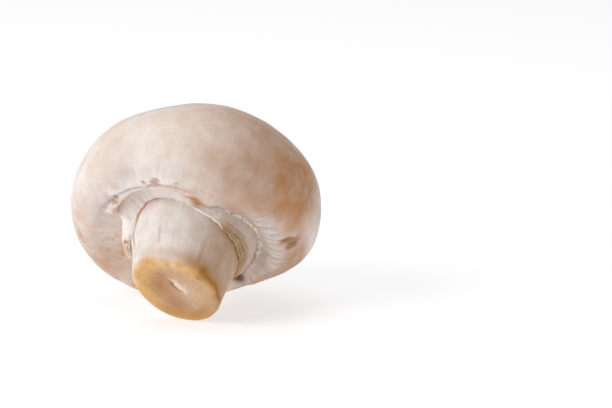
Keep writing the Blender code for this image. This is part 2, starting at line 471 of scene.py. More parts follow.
def stem_material():
    """Whitish fibrous flesh, tan on one side, ochre round the cut and tan-pink in its dish, with painted
    shadow under the veil's edge and painted shade in the hollow beside the split.
    """
    shader = Shader("stem_flesh")
    middle = shader.noise(0.35, 4.0)
    fine = shader.noise(2.2, 3.0)
    fibre = shader.noise(1.0, 3.0, vector="fibre")

    tan = shader.multiply(shader.attribute("tan"), shader.ramp(middle, 0.2, 0.65, 0.75, 1.0))
    colour = shader.mix(shader.ramp(middle, 0.35, 0.7), srgb(231, 224, 220), srgb(220, 208, 200))
    colour = shader.mix(tan, colour, srgb(190, 160, 132))
    colour = shader.mix(shader.multiply(shader.ramp(fibre, 0.50, 0.74), 0.18), colour, srgb(184, 146, 118))

    ochre = shader.mix(shader.ramp(middle, 0.3, 0.7), srgb(224, 181, 116), srgb(210, 160, 97))
    flesh = shader.mix(shader.ramp(fine, 0.35, 0.7), srgb(204, 168, 132), srgb(192, 152, 114))
    # The stain layer also paints the shadow under the veil's edge, and the dark layer paints shade in the
    # hollow beside the split.
    colour = shader.stain(
        colour, ("stain", srgb(192, 146, 102)), ("ochre", ochre), ("face", flesh),
        ("brown", srgb(172, 122, 80)), ("crack", srgb(170, 116, 46)),
        ("light", srgb(242, 234, 226)), ("dark", srgb(126, 88, 58)))
    height = shader.blend(fine, 0.3, fibre, 0.7)
    return shader.finish(colour, shader.ramp(middle, 0.3, 0.7, 0.52, 0.66), height, 0.10, 0.25, 0.35)


def veil_material():
    """Thin greyish skin with fine lines, white at its torn edges and yellowish in its folds, with painted
    shade on the recessed skin and in the troughs of the folds.
    """
    shader = Shader("veil_skin")
    middle = shader.noise(0.5, 4.0)
    fibre = shader.noise(1.0, 3.0, vector="fibre")
    lines = shader.multiply(shader.ramp(fibre, 0.35, 0.65), 0.4)
    colour = shader.mix(shader.ramp(middle, 0.3, 0.7), srgb(246, 238, 232), srgb(236, 224, 216))
    colour = shader.mix(lines, colour, srgb(186, 166, 154))
    # Two of these layers are painted shade: the dark brown in the troughs of the folds and the greyish
    # tone of the recessed skin.
    colour = shader.stain(
        colour, ("fold", srgb(184, 150, 116)), ("crease_shade", srgb(124, 88, 60)),
        ("grey_shade", srgb(212, 201, 194)), ("white", srgb(238, 230, 224)), ("orange", srgb(192, 132, 84)))
    return shader.finish(colour, shader.ramp(middle, 0.3, 0.7, 0.6, 0.74), fibre, 0.08, 0.25, 0.6, 0.4)


def gill_material():
    """Pinkish brown blades."""
    shader = Shader("gill_brown")
    middle = shader.noise(0.7, 3.0)
    fine = shader.noise(3.0, 2.0)
    colour = shader.mix(shader.ramp(middle, 0.3, 0.7), srgb(160, 118, 92), srgb(130, 90, 70))
    return shader.finish(colour, 0.75, fine, 0.1, 0.1)


def fibre_material():
    """Dull white hairs."""
    shader = Shader("cotton_white")
    middle = shader.noise(0.8, 2.0)
    colour = shader.mix(shader.ramp(middle, 0.3, 0.7), srgb(248, 241, 235), srgb(236, 227, 219))
    shader.put(shader.out.inputs["Base Color"], colour)
    shader.put(shader.out.inputs["Roughness"], shader.ramp(middle, 0.3, 0.7, 0.7, 0.85))
    shader.out.inputs["Specular IOR Level"].default_value = HAIR_SPECULAR
    return shader.material


def floor_material():
    """Matt white that glows a little."""
    shader = Shader("floor_white")
    shader.put(shader.out.inputs["Base Color"], (0.50, 0.50, 0.51))
    shader.out.inputs["Roughness"].default_value = 0.9
    shader.out.inputs["Specular IOR Level"].default_value = 0.1
    shader.out.inputs["Emission Color"].default_value = (1.0, 1.0, 1.0, 1.0)
    shader.out.inputs["Emission Strength"].default_value = FLOOR_GLOW
    return shader.material


# ---------------- cap

CAP_COLUMNS = 480
DOME_ROWS = 88
MARGIN_ROWS = 36
UNDER_ROWS = 30
LIP_ROWS = 20
CHAMBER_ROWS = 6
CAP_INNER_ROWS = 14  # the profile's last rows: the inside of the lip, the chamber and the socket

# How far the lip stands outside its plain radius, by direction.
LIP_SHIFT = (
    (-180, -2.2), (-157, -2.3), (-150, -0.4), (-140, 0.2), (-130, 0.7), (-120, 1.2), (-107, 1.5),
    (-92, 1.1), (-84, 0.0), (-76, -1.7), (-66, -2.7), (-56, -2.6), (-48, -2.0), (-38, -1.3),
    (-26, -0.2), (-14, 0.7), (0, 0.4), (15, 0.0), (32, -0.2), (45, 0.3), (75, 0.3), (110, 0.0),
    (150, -1.2),
)

# Spots on the cap: (strength, centre, radius). A swelling's strength is its height in mm.
SWELLINGS = (
    (-1.1, (-8, -19, 11), 10.0), (0.45, (10, -18, 11), 8.0), (0.7, (22, 10, -6), 6.5),
    (-1.0, (13, 22, -7), 7.0),
)
PITS = (
    (1.0, (-12.8, -11.9, -9.4), 1.0), (1.0, (-11.9, -13.4, -9.4), 0.7), (1.0, (-5.0, -18.6, -9.1), 0.5),
    (1.0, (-2.3, -18.8, -9.3), 1.1), (1.0, (2.2, -18.6, -9.4), 0.5),
)
SCAR = (23.2, -0.4, -9.0)
HOLE = (9.6, 12.9, -10.0)
# Tan patches: partly real tan, partly painted shade on the side away from the light.
TAN_AND_SHADE_PATCHES = (
    (0.90, (20, -14, 4), 13), (0.35, (25, -6, -4), 8), (0.30, (14, -18, 8), 6),
    (0.75, (15, -18, -7), 6), (0.60, (19, -13, -8.5), 4.5), (0.15, (9, -22, -4), 6),
    (0.30, (3, -18, 12), 10), (0.35, (14, 8, 16), 9), (0.50, (-8, 20, 8), 9),
    (0.50, (16, 19, 2), 8), (0.30, (-20, 4, 8), 7), (0.55, (-18, 12, -9), 7),
    (0.25, (-21, 2, -9), 5), (0.75, (20.5, 8, -10), 4.5),
)
GOLD_PATCHES = (
    (1.2, (25.5, -10, -4), 6), (0.9, (25, -12, 2), 6), (0.7, (25, -4.5, -7), 3.5),
    (0.5, (22, -9, -8.5), 3), (0.6, (-21, 10, -9), 5), (0.35, (-24, 1, -6), 5),
)
EVEN_GOLD = ((0.35, (-17, 8, -10), 6),)
# Painted purplish shade on the shaded underside.
LILAC_SHADE_PATCHES = (
    (0.7, (-14, -12, -9.7), 4.5), (0.6, (-17, -6, -9.7), 4.5), (0.4, (-19, 4, -10), 6),
    (0.35, (-11, -21, -5), 8), (0.45, (-9, -19.5, -8), 2.6),
)
WHITE_PATCH = ((0.5, (-4, -21, -8), 4),)
RUST_SPOT = ((0.8, (-14.1, 6.3, -9.5), 1.4),)


def lip_shift(phi):
    """Return how far the lip stands outside its plain radius, with a jagged edge at one side."""
    jag = ripple(phi, 14, 31) + 0.5 * ripple(phi, 30, 32)
    ragged = 0.06 + 0.24 * span(phi, -50, 45, 8)
    return along(LIP_SHIFT, phi) + ragged * jag


def lip_ridge(phi):
    """Return how far the torn rim of the lip stands up, with a taller tab at its end."""
    jag = ripple(phi, 11, 33)
    return span(phi, -150, -54, 5) * (0.75 + 0.15 * jag) + 0.60 * hump(phi, -147, 3)


def cap_profile():
    """Return the cap's outline from the middle of its top to the top of the stem's socket."""
    dome = arc((0.0, CAP_WIDEST_Z), (CAP_RADIUS, CAP_DOME_HEIGHT), 90, 0, DOME_ROWS)
    margin_radii = (CAP_RADIUS - MARGIN_RADIUS, MARGIN_DEPTH)
    margin = arc((MARGIN_RADIUS, CAP_WIDEST_Z), margin_radii, 0, -90, MARGIN_ROWS)[1:]
    lip_centre = (LIP_RADIUS + LIP_ROLL, LIP_Z - 0.2)
    lip = arc(lip_centre, (LIP_ROLL, LIP_ROLL), -115, -260, LIP_ROWS)
    under = line(margin[-1], lip[0], UNDER_ROWS)[1:]
    corner_centre = (CHAMBER_RADIUS - CHAMBER_CORNER, CHAMBER_CORNER_Z)
    chamber = arc(corner_centre, (CHAMBER_CORNER, CHAMBER_CORNER), -30, 90, CHAMBER_ROWS)
    socket_radius = STEM_RADIUS + STEM_SHIFT_X + GAP
    socket_top = STEM_TOP_Z + GAP
    wall = line((socket_radius, CHAMBER_CEILING_Z), (socket_radius, socket_top), 2)
    roof = line((socket_radius, socket_top), (0.0, socket_top), 2)
    return np.concatenate([dome, margin, under, lip, chamber, wall, roof, [(0.0, socket_top)]])


def lip_rise(radius, phi, z):
    """Return how far the underside stands out at the lip: its torn rim and the groove beside it."""
    at_lip = smooth(-7, -8.2, z)
    beyond = radius - LIP_RADIUS - 1.0
    lumps = streaks(phi, radius, 9, 1.5, 54)
    ridge = bell(beyond, np.where(beyond > 0, 1.5, 1)) * at_lip
    groove = bell(beyond - 2.7 - 0.35 * lumps, 0.7) * at_lip
    groove = groove * (0.42 - 0.28 * lumps) * span(phi, -145, -82, 8)
    return lip_ridge(phi) * ((1.1 + 0.3 * lumps) * ridge - groove)


def cap_shape(radius, phi, z):
    """Return the cap's points: lobes, shifted rim, sagging mouth and the uneven lip."""
    start = LOBE_START - LOBE_START_INSET * smooth(LIP_Z, LIP_Z - 1.6, z)
    outside = smooth(0, LOBE_RAMP, radius - start)
    above = smooth(5, 18, radius)
    weight = outside + (above - outside) * smooth(2, 8, z)
    growth = 1.0
    for count, share, direction in LOBES:
        growth = growth + weight * share * np.cos(np.radians(count * (phi - direction)))
    hang = sag(phi) * smooth(-3.5, LIP_Z, z) * smooth(25, 19, radius) + lip_rise(radius, phi, z)
    reach = np.clip((MARGIN_RADIUS - radius) / (MARGIN_RADIUS - LIP_RADIUS), 0.0, 1.0) ** 0.3
    mouth = smooth(MARGIN_RADIUS, LIP_RADIUS, radius) * (radius >= LIP_RADIUS - 0.01) * (z < -1)
    points = to_points((radius + lip_shift(phi) * mouth * reach) * growth, phi, z - hang)
    points[..., 0] += RIM_SHIFT[0] * weight
    points[..., 1] += RIM_SHIFT[1] * weight
    return points


def cap_relief(points, phi, bent, radius, under):
    """Return the height of the cap's skin: swellings, fibrils, creases, crumples, pits and scar."""
    height = 0.20 * rough(points / 13, 2, 1) + 0.07 * rough(points / 4, 2, 4)
    fibrils = streaks(bent, radius, 60, 5, 7) + 0.6 * streaks(bent, radius, 110, 3, 9)
    creases = streaks(bent, radius, 8, 7, 11)
    cottony = span(phi, -32, 58, 14) * smooth(24.5, 20, radius)
    height = height + under * (fibrils * (0.018 + 0.075 * cottony) + 0.16 * creases * cottony)
    crumpled = span(phi, -142, -78, 9) * smooth(17.6, 19.6, radius) * smooth(24, 20.5, radius)
    height = height + under * crumpled * (0.45 * np.abs(rough(points / 2.4, 3, 50)) - 0.15)
    height = height + spots(points, SWELLINGS) - 0.35 * spots(points, PITS)
    return height + spots(points, ((-0.45, SCAR, 1.6), (-0.7, HOLE, 0.9)))


def rim_start(phi):
    """Return the radius where the darker rim of the underside starts."""
    return 20.2 - 1.7 * smooth(12, 34, phi)


def rim_shade(phi, radius, under):
    """Return where the rim of the underside is darker."""
    start = rim_start(phi)
    return under * span(phi, 0, 66, 10) * smooth(start, start + 1.3, radius)


def lip_band(phi, radius, under):
    """Return where the pale band of the torn rim lies."""
    return smooth(18.3, 17.6, radius) * under * span(phi, -152, -76, 5)


def cap_patches(points, phi, radius, under):
    """Return where the cap is tan, golden, white and cottony, and where painted purplish shade lies on the
    underside and in the groove by the lip. Part of the tan is painted shade.
    """
    # Painted shade beside the stem and at the underside's rim, laid into the tan mask.
    shade_beside_stem = under * span(phi, -48, 32, 12) * smooth(19.6, 17.2, radius)
    tan = spots(points, TAN_AND_SHADE_PATCHES) + 0.8 * rim_shade(phi, radius, under) + 0.36 * shade_beside_stem

    rim_lines = smooth(-0.1, 0.5, noise(np.stack([radius * 1.5, phi / 16, phi * 0], -1), 6))
    rim = under * span(phi, 4, 75, 12) * smooth(19, 21.5, radius)
    gold = spots(points, GOLD_PATCHES) * (0.85 + 0.35 * rough(points / 5, 3, 61))
    gold = gold + (0.2 + 0.6 * rim_lines) * rim + spots(points, EVEN_GOLD)

    patchy = 0.5 + 0.5 * rough(points / 2.4, 3, 50)
    # Painted shade in the groove outside the lip's torn rim.
    groove = bell(radius - LIP_RADIUS - 3.5, 0.6) * under * span(phi, -145, -84, 8)
    lilac_shade = spots(points, LILAC_SHADE_PATCHES) + 0.45 * groove * smooth(0.75, 0.30, patchy)

    beside_lip = smooth(18.2, 19.4, radius) * smooth(23.5, 20.5, radius) * under
    crumpled = beside_lip * span(phi, -138, -78, 8)
    band = lip_band(phi, radius, under)
    white = 0.95 * crumpled * smooth(0.10, 0.55, patchy) + 0.9 * band + spots(points, WHITE_PATCH)

    inward = smooth(rim_start(phi) + 2, rim_start(phi) - 0.8, radius)
    cotton = span(phi, -30, 55, 12) * inward * under
    cotton = cotton * (0.55 + 0.45 * streaks(phi, radius, 26, 4, 5))
    cotton = cotton * (0.40 + 0.60 * smooth(16.8, 18.6, radius))
    return {"tan": tan, "gold": gold, "lilac_shade": lilac_shade, "white": white, "cotton": cotton}


def cap_wounds(points, phi, radius, under):
    """Return where the cap is rusty orange, and where it is dark: pits, scar and hole, and painted shade
    at the rim and next to the lip.
    """
    z = points[..., 2]
    lip = smooth(-7, -8.3, z) * smooth(17, 16.2, radius)
    stained = smooth(-7, -8, z) * smooth(17.5, 16.6, radius)
    rim_line = bell(radius - 17.7, 0.35) * under * span(phi, -100, -70, 6)
    orange = stained * hump(phi, -69.5, 4) + 0.60 * lip * span(phi, -98, -60, 5)
    orange = orange + 0.35 * lip * hump(phi, -146, 6) + 0.13 * lip_band(phi, radius, under)
    orange = orange + 0.6 * rim_line + spots(points, RUST_SPOT)

    pits = spots(points, PITS)
    pits = 0.38 * smooth(0.35, 0.95, pits + 0.45 * rough(points / 0.7, 2, 8) * smooth(0.05, 0.35, pits))
    scar = smooth(0.30, 0.85, spots(points, ((1, SCAR, 2.2),)) + 0.35 * noise(points / 1.4, 9))
    scar = scar * (0.60 + 0.20 * streaks(phi, radius, 60, 6, 52))
    # Painted shade next to the lip beside the stem, and at the underside's rim.
    shade_near_lip = under * span(phi, -36, 28, 12) * smooth(19, 17.6, radius)
    dark = pits + scar + spots(points, ((1.6, HOLE, 1.5),))
    shade = (0.10 + 0.11 * hump(phi, 32, 16)) * rim_shade(phi, radius, under)
    dark = dark + shade + 0.20 * shade_near_lip
    return {"orange": orange + 1.2 * pits + 1.3 * scar, "pit_and_shade": dark}


def make_cap():
    """Build the cap."""
    radius, phi, z = sweep(cap_profile(), CAP_COLUMNS)
    points = cap_shape(radius, phi, z)
    outside = np.ones_like(radius)
    outside[-CAP_INNER_ROWS:] = 0.0
    under = smooth(-5.5, -8.5, z) * outside
    bent = phi + 2.2 * noise(points / 3.5, 10)
    height = cap_relief(points, phi, bent, radius, under) * outside
    height[:3] *= 0.3  # calm beside the pole
    points = points + normals(points) * height[..., None]
    masks = {**cap_patches(points, phi, radius, under), **cap_wounds(points, phi, radius, under)}
    masks["under"] = under
    masks["speckled"] = under * (0.10 + 0.90 * span(phi, 112, 190, 16))
    vectors = {"fibre": fibre_lines(bent, 30, radius * 0.18)}
    return grid_piece("cap", points, False, masks, vectors)


# ---------------- stem

STEM_COLUMNS = 360
SIDE_ROWS = 118
RIM_ROWS = 22
FACE_ROWS = 64
RIM_INNER = CUT_RADIUS - CUT_RIM
DISH_DEPTH = 0.85
HOLLOW_DEPTH = 0.40
RIDGE_HEIGHT = 0.08
SCRATCH_HEIGHT = 0.05

# On the cut, seen along the axis: the split's two ends, and brown patches.
SLIT_START = (-1.3, -2.6)
SLIT_END = (1.7, 1.6)
BROWN_PATCHES = (
    (0.8, (-3.6, 0.2), 2.6), (0.7, (-0.5, 4.6), 2.8), (0.5, (-3.0, -3.4), 1.8), (0.45, (4.6, 5.4), 3.4),
)
PALE_PATCH = ((0.15, (2.8, 1.6), 3.2),)


def stem_radius(z):
    """Return the stem's radius at a height."""
    share = np.clip((STEM_TAPER_Z - z) / (STEM_TAPER_Z - CUT_Z - CUT_RIM), 0.0, 1.0)
    return STEM_RADIUS + (CUT_RADIUS - STEM_RADIUS) * smooth(0.1, 1.15, share)


def stem_profile():
    """Return the stem's outline from the middle of its top to the middle of its cut."""
    top = line((0.0, STEM_TOP_Z), (STEM_RADIUS - 0.4, STEM_TOP_Z), 4)
    height = np.linspace(STEM_TOP_Z - 0.3, CUT_Z + CUT_RIM, SIDE_ROWS)
    side = np.stack([stem_radius(height), height], -1)
    rim_centre = (side[-1, 0] - CUT_RIM, CUT_Z + CUT_RIM)
    rim = arc(rim_centre, (CUT_RIM, CUT_RIM), -6, -90, RIM_ROWS)
    face_radius = np.linspace(rim[-1, 0], 0.0, FACE_ROWS)[1:]
    face = np.stack([face_radius, np.full_like(face_radius, CUT_Z)], -1)
    return np.concatenate([top, side, rim, face])


def slit_relief(flat, on_face):
    """Return the split in the cut, as a torn ridge and the hollow beside it, and a second scratch."""
    x, y = flat[..., 0], flat[..., 1]
    way = np.array(SLIT_END) - np.array(SLIT_START)
    length = np.linalg.norm(way)
    way = way / length
    wobble = 0.50 * noise(flat / 1.4, 24) + 0.34 * noise(flat / 0.6, 25)
    share = ((x - SLIT_START[0]) * way[0] + (y - SLIT_START[1]) * way[1]) / length
    beside = (x - SLIT_START[0]) * way[1] - (y - SLIT_START[1]) * way[0] + wobble
    inside = smooth(-0.10, 0.30, share) * smooth(1.15, 0.80, share) * on_face

    width = 0.45 + 0.90 * smooth(0, 0.7, share)
    lamella = 0.82 + 0.18 * np.sin(2 * np.pi * beside / 0.55 + 1.5 * noise(flat / 0.8, 26))
    ridge = smooth(-0.10, 0.20, beside) * bell(np.maximum(beside - 0.20, 0), width) * inside * lamella
    hollow = inside * bell(beside + 0.45, 0.45) * smooth(1, 0.6, share)
    hollow = hollow * (0.75 + 0.35 * noise(flat / 0.7, 53))

    wavy = y - 3.9 - 0.58 * (x - 3.1) + 0.35 * noise(flat / 0.8, 56)
    scratch = on_face * bell(wavy, 0.42) * smooth(2.7, 3.3, x) * smooth(4.9, 4.1, x)
    return ridge, hollow, scratch


def stem_relief(points, flat, phi, bent, radius, z, on_face):
    """Return the height of the stem's skin: fibrils on the side and grain on the cut."""
    side = smooth(-23, -21, z) * smooth(RIM_INNER, RIM_INNER + 1, radius)
    fibrils = streaks(bent, z, 30, 9, 12) + 0.6 * streaks(bent, z, 64, 6, 14)
    broad = streaks(phi, z, 5, 14, 16)
    height = side * (0.030 * fibrils + 0.16 * broad) + 0.05 * rough(points / 2.5, 2, 18)
    height = height + on_face * 0.07 * rough(flat / 1.1, 3, 20)
    height[:6] = 0.0  # inside the cap
    height[-2:] *= 0.2  # calm beside the pole
    return height


def cut_masks(flat, phi, radius, z, on_face):
    """Return where the cut is ochre, flesh-coloured, brown and dark ochre along its rim."""
    edge = z + 0.12 * ripple(phi, 7, 22)
    bleed = 1.8 * hump(phi, -43, 6) - 0.7 * hump(phi, -85, 32) - 0.4 * hump(phi, 5, 26)
    ochre = smooth(CUT_Z + 1.1 + bleed, CUT_Z - 0.1, edge)

    inner = RIM_INNER - 0.4 - 2.1 * hump(phi, -165, 50) + 3.4 * hump(phi, 4, 36)
    inner = inner + 0.5 * ripple(phi, 4, 23)
    face = smooth(CUT_Z + 0.7, CUT_Z + 0.2, z) * smooth(inner + 1, inner - 3, radius)

    on_rim = radius > RIM_INNER - 0.3
    rim_line = bell(z - CUT_Z - 0.9 - 0.35 * ripple(phi, 12, 28), 0.55)
    crack = span(phi, -47, 14, 6) * rim_line * on_rim
    crack = crack + 0.35 * span(phi, 15, 120, 25) * smooth(CUT_Z + 1.5, CUT_Z, z) * (radius > 6.5)
    crack = crack + 0.75 * hump(phi, -42, 6.5) * smooth(CUT_Z + 4.2, CUT_Z + 1, z) * on_rim
    brown = on_face * spots(flat[..., :2], BROWN_PATCHES)
    return {"ochre": ochre, "face": face, "brown": brown, "crack": crack}


def side_masks(phi, radius, z):
    """Return where the stem's side is tan, where it has brown streaks and bruises, and the painted shadow
    just under the veil's edge.
    """
    skin = smooth(RIM_INNER, RIM_INNER + 0.8, radius)
    streak = 0.55 * hump(phi, -104, 1.6) * smooth(-15, -16.5, z) * smooth(-20.5, -18.5, z)
    streak = streak + 0.5 * hump(phi, -52, 2.6) * smooth(-14, -17, z)
    streak = streak + 0.8 * hump(phi, -150, 2.4) * smooth(-12.5, -14, z) * smooth(-19.5, -17, z)
    bruise = 0.6 * hump(phi, -27, 4) * bell(z + 17.7, 1.2)
    above_cut = 0.60 * span(phi, -70, 10, 14) * smooth(-17, -21.5, z)
    above_cut = above_cut + 0.35 * span(phi, -125, 40, 15) * smooth(-19.8, -21.6, z)
    # Painted shadow on the stem just under the veil's lower edge.
    contact_z = LIP_Z - sag(phi) - along(VEIL_DROP, phi) - 0.5
    veil_shadow = 0.60 * span(phi, -58, 55, 12) * bell(z - contact_z, 0.7)
    tan = 0.95 * span(phi, -56, 75, 30)
    # The stain mask holds real streaks and bruises plus the painted shadow under the veil.
    return {"tan": tan, "stain": skin * (streak + bruise + above_cut) + veil_shadow}


def make_stem():
    """Build the stem: fibrous side, rounded rim, dished cut with a torn split."""
    radius, phi, z = sweep(stem_profile(), STEM_COLUMNS)
    flat = to_points(radius, phi, z)
    on_face = (radius <= RIM_INNER + 0.01) & (z < -20.0)
    ridge, hollow, scratch = slit_relief(flat, on_face)
    dish = DISH_DEPTH * smooth(RIM_INNER + 0.4, 2.2, radius) * on_face
    slope = CUT_SLOPE[0] * flat[..., 0] + CUT_SLOPE[1] * flat[..., 1]
    points = flat.copy()
    points[..., 2] += dish + HOLLOW_DEPTH * hollow - RIDGE_HEIGHT * ridge - SCRATCH_HEIGHT * scratch
    points[..., 2] += smooth(-9, CUT_Z + CUT_RIM, z) * slope
    points[..., 0] += STEM_SHIFT_X
    bent = phi + 1.5 * noise(points / 4, 27)
    height = stem_relief(points, flat, phi, bent, radius, z, on_face)
    points = points + normals(points) * height[..., None]

    masks = {**side_masks(phi, radius, z), **cut_masks(flat, phi, radius, z, on_face)}
    masks["light"] = 0.85 * ridge + 0.12 * scratch + on_face * spots(flat[..., :2], PALE_PATCH)
    # Painted shade in the hollow beside the split.
    masks["dark"] = 0.55 * hollow
    fibre = np.where(on_face[..., None], flat * 1.4, fibre_lines(bent, 26, z * 0.10))
    return grid_piece("stem", points, False, masks, {"fibre": fibre})


# ---------------- veil

VEIL_COLUMNS = 720
VEIL_ROWS = 64
VEIL_HALF = 0.22  # half of its thickness, where it is plain
FOLD_COUNT = 5.5

# How far the veil hangs below the lip, and its distance from the stem's side, by direction.
VEIL_DROP = (
    (-180, 5.1), (-165, 5.2), (-152, 5.2), (-144, 4.6), (-137, 3.5), (-131, 2.3), (-126, 1.4),
    (-119, 0.5), (-109, 0.2), (-99, 0.5), (-91, 0.7), (-80, 1.3), (-70, 2.1), (-61, 2.8),
    (-52, 3.3), (-44, 3.8), (-36, 4.4), (-20, 4.9), (0, 5.2), (20, 5.5), (42, 5.2), (50, 3.0),
    (56, 1.0), (64, 2.0), (80, 2.2), (110, 1.7), (140, 2.4), (158, 4.8),
)
VEIL_GAP = (
    (-180, 0.25), (-168, 0.15), (-158, -0.05), (-150, -0.25), (-139, -0.35), (-88, -0.35),
    (-70, -0.30), (-60, 0.05), (-40, 0.20), (-15, 0.10), (20, 0.0), (40, 0.1), (50, 0.9),
    (56, 1.8), (64, 1.2), (90, 0.5), (130, 0.3), (155, 0.3),
)
RUST_SPOTS = ((0.6, (10.7, -7.6, -11.8), 1.1), (0.8, (-12.9, 4.2, -9.8), 1.6))


def skirt_zone(phi):
    """Return where the veil hangs as a long loose skirt."""
    return span(phi, -42, 50, 9)


def flap_zone(phi):
    """Return where the veil hangs as a thick torn flap."""
    return span(phi, 150, 216, 6)


def lump_zone(share, phi):
    """Return where the flap is rolled up into a lump."""
    across = smooth(0.30, 0.60, share) * smooth(1.02, 0.90, share)
    return span(phi, -196, -145, 7) * across


def fold_zone(share, phi):
    """Return where the skirt is folded."""
    return skirt_zone(phi) * span(phi, -32, 50, 16) * smooth(0.40, 0.56, share)


def folds(share, phi):
    """Return the skirt's folds, as a wave from -1 to 1."""
    wave = 0.7 * ripple(phi, 3, 44) + 0.30 * streaks(phi, share, 8, 0.25, 45)
    return np.sin(2.0 * np.pi * (share * FOLD_COUNT + wave))


def torn_strip(share, phi):
    """Return where the skin has come off the flap, up to a slanting edge."""
    return smooth(0, 1.6, 16 * share - turn(phi, -150)) * span(phi, -210, -134, 3)


def veil_middle(share, phi):
    """Return radius and height of the veil's middle surface, from lip (0) to lower edge (1)."""
    jag = ripple(phi, 16, 40) + 0.6 * ripple(phi, 34, 41)
    tatter = ripple(phi, 7, 57) + 0.4 * ripple(phi, 18, 58)
    drop = along(VEIL_DROP, phi) + jag * (0.08 + 0.18 * skirt_zone(phi)) + 0.7 * tatter * flap_zone(phi)
    outer_radius = LIP_RADIUS + lip_shift(phi) + 0.35
    outer_z = LIP_Z - 0.25 - sag(phi) - 0.35 * lip_ridge(phi)
    inner_z = outer_z - np.maximum(drop, 0.15)
    inner_radius = stem_radius(inner_z) + STEM_SHIFT_X * np.cos(np.radians(phi)) + along(VEIL_GAP, phi)
    inner_radius = np.minimum(inner_radius + 0.2, outer_radius - 0.15)

    hanging = np.maximum(span(phi, -58, 52, 10), span(phi, 158, 222, 8))
    radius = outer_radius + (inner_radius - outer_radius) * share
    z = outer_z + (inner_z - outer_z) * share + 0.30 * np.sin(np.pi * share) * (1.0 - hanging)
    knee_radius = inner_radius + 0.35 * (outer_radius - inner_radius)
    knee_z = outer_z + 0.58 * (inner_z - outer_z)
    first, second, third = (1.0 - share) ** 2, 2.0 * share * (1.0 - share), share ** 2
    bent_radius = first * outer_radius + second * knee_radius + third * inner_radius
    bent_z = first * outer_z + second * knee_z + third * inner_z
    return radius + (bent_radius - radius) * hanging, z + (bent_z - z) * hanging


def veil_thickness(share, phi, points):
    """Return half the veil's thickness and the relief that both of its faces share."""
    skirt, flap = skirt_zone(phi), flap_zone(phi)
    folded, lump = fold_zone(share, phi), lump_zone(share, phi)
    torn_edge = smooth(0.80, 0.96, share) * span(phi, -70, -14, 8)
    joined = span(phi, -150, -66, 6) * smooth(0.55, 1, share)
    half = VEIL_HALF - 0.08 * smooth(0.7, 1, share) + 0.26 * torn_edge + 0.12 * flap - 0.07 * joined
    half = half + 0.10 * torn_strip(share, phi) + 0.52 * lump
    lines = streaks(phi, share, 60, 2, 46)
    relief = 0.13 * folds(share, phi) * folded + 0.035 * lines * (1.0 - folded)
    relief = relief + 0.10 * rough(points / 1.6, 2, 48) * (0.3 + skirt + flap)
    return half, relief + 0.16 * rough(points / 0.8, 2, 59) * lump


def veil_masks(points, share, phi):
    """Return where the veil is folded, white and orange, and where painted shade darkens its recessed skin
    and the troughs of its folds.
    """
    skirt, flap = skirt_zone(phi), flap_zone(phi)
    folded = fold_zone(share, phi)
    edge = smooth(0.76, 0.95, share)
    fold = 0.42 * folded + 0.3 * skirt * edge + 0.62 * skirt
    # Painted shade in the troughs of the folds and under the lip along the skirt's top.
    crease_shade = folded * smooth(0.1, -1, folds(share, phi))
    crease_shade = crease_shade * (0.25 + 0.45 * streaks(phi, share, 9, 0.25, 55))
    crease_shade = crease_shade + 0.14 * skirt * smooth(0.65, 0.45, share)

    white = 0.9 * edge * span(phi, -76, -40, 6) + 0.85 * flap * smooth(0.2, 0.6, share)
    white = white + 0.95 * torn_strip(share, phi) * smooth(-0.8, 0, noise(points / 1.2, 51))
    white = white + 0.75 * span(phi, -108, -66, 12) + 0.12 * edge * span(phi, -40, -10, 8)
    # Painted shade on the recessed skin between lip and stem, and under the lip on the skirt.
    grey_shade = span(phi, -150, -108, 8) * smooth(0.85, 0.3, share)
    grey_shade = grey_shade + 0.4 * span(phi, -52, 50, 8) * smooth(0.7, 0.45, share)

    orange = spots(points, RUST_SPOTS) + 0.55 * smooth(0.72, 0.94, share) * hump(phi, 183, 13)
    orange = orange + 0.6 * smooth(0.2, 0, share) * span(phi, -82, -56, 5)
    orange = orange + 0.65 * smooth(1.08, 0.75, share) * hump(phi, -67, 4.5)
    orange = orange + 0.85 * smooth(0.86, 0.93, share) * span(phi, -138, -100, 6)
    # Orange at the lip's inner side on the left: partly a real orange line, partly painted shadow under
    # the lip.
    orange = orange + 0.40 * smooth(0.30, 0, share) * span(phi, -152, -116, 8)
    orange = orange + 0.7 * flap * smooth(0.35, 0.75, noise(points / 1.5, 49)) * edge
    return {"fold": fold, "crease_shade": crease_shade, "white": white, "grey_shade": grey_shade, "orange": orange}


def both_faces(grid):
    """Return a sheet's rows as a loop: back up along its upper face, then down its lower one."""
    return np.concatenate([grid[::-1], grid])


def make_veil():
    """Build the veil: skin between lip and stem, a folded skirt at one side and a small flap."""
    around = np.linspace(-180.0, 180.0, VEIL_COLUMNS, endpoint=False)
    share, phi = np.meshgrid(np.linspace(0.0, 1.0, VEIL_ROWS), around, indexing="ij")
    radius, z = veil_middle(share, phi)
    half, relief = veil_thickness(share, phi, to_points(radius, phi, z))
    radius_step = np.gradient(radius, axis=0)
    z_step = np.gradient(z, axis=0)
    length = np.hypot(radius_step, z_step) + 1e-9
    offset = np.concatenate([(half - relief)[::-1], -(half + relief)])
    loop_radius = both_faces(radius) + both_faces(z_step / length) * offset
    loop_z = both_faces(z) - both_faces(radius_step / length) * offset
    loop_share, loop_phi = both_faces(share), both_faces(phi)
    points = to_points(loop_radius, loop_phi, loop_z)
    masks = veil_masks(points, loop_share, loop_phi)
    vectors = {"fibre": fibre_lines(loop_phi, 40, loop_share * 1.5)}
    return grid_piece("veil", points, True, masks, vectors)


# ---------------- gills

GILL_COUNT = 120
GILL_COLUMNS = 6  # for each blade
GILL_ROOT = 1.0
GILL_DEPTH = 2.5


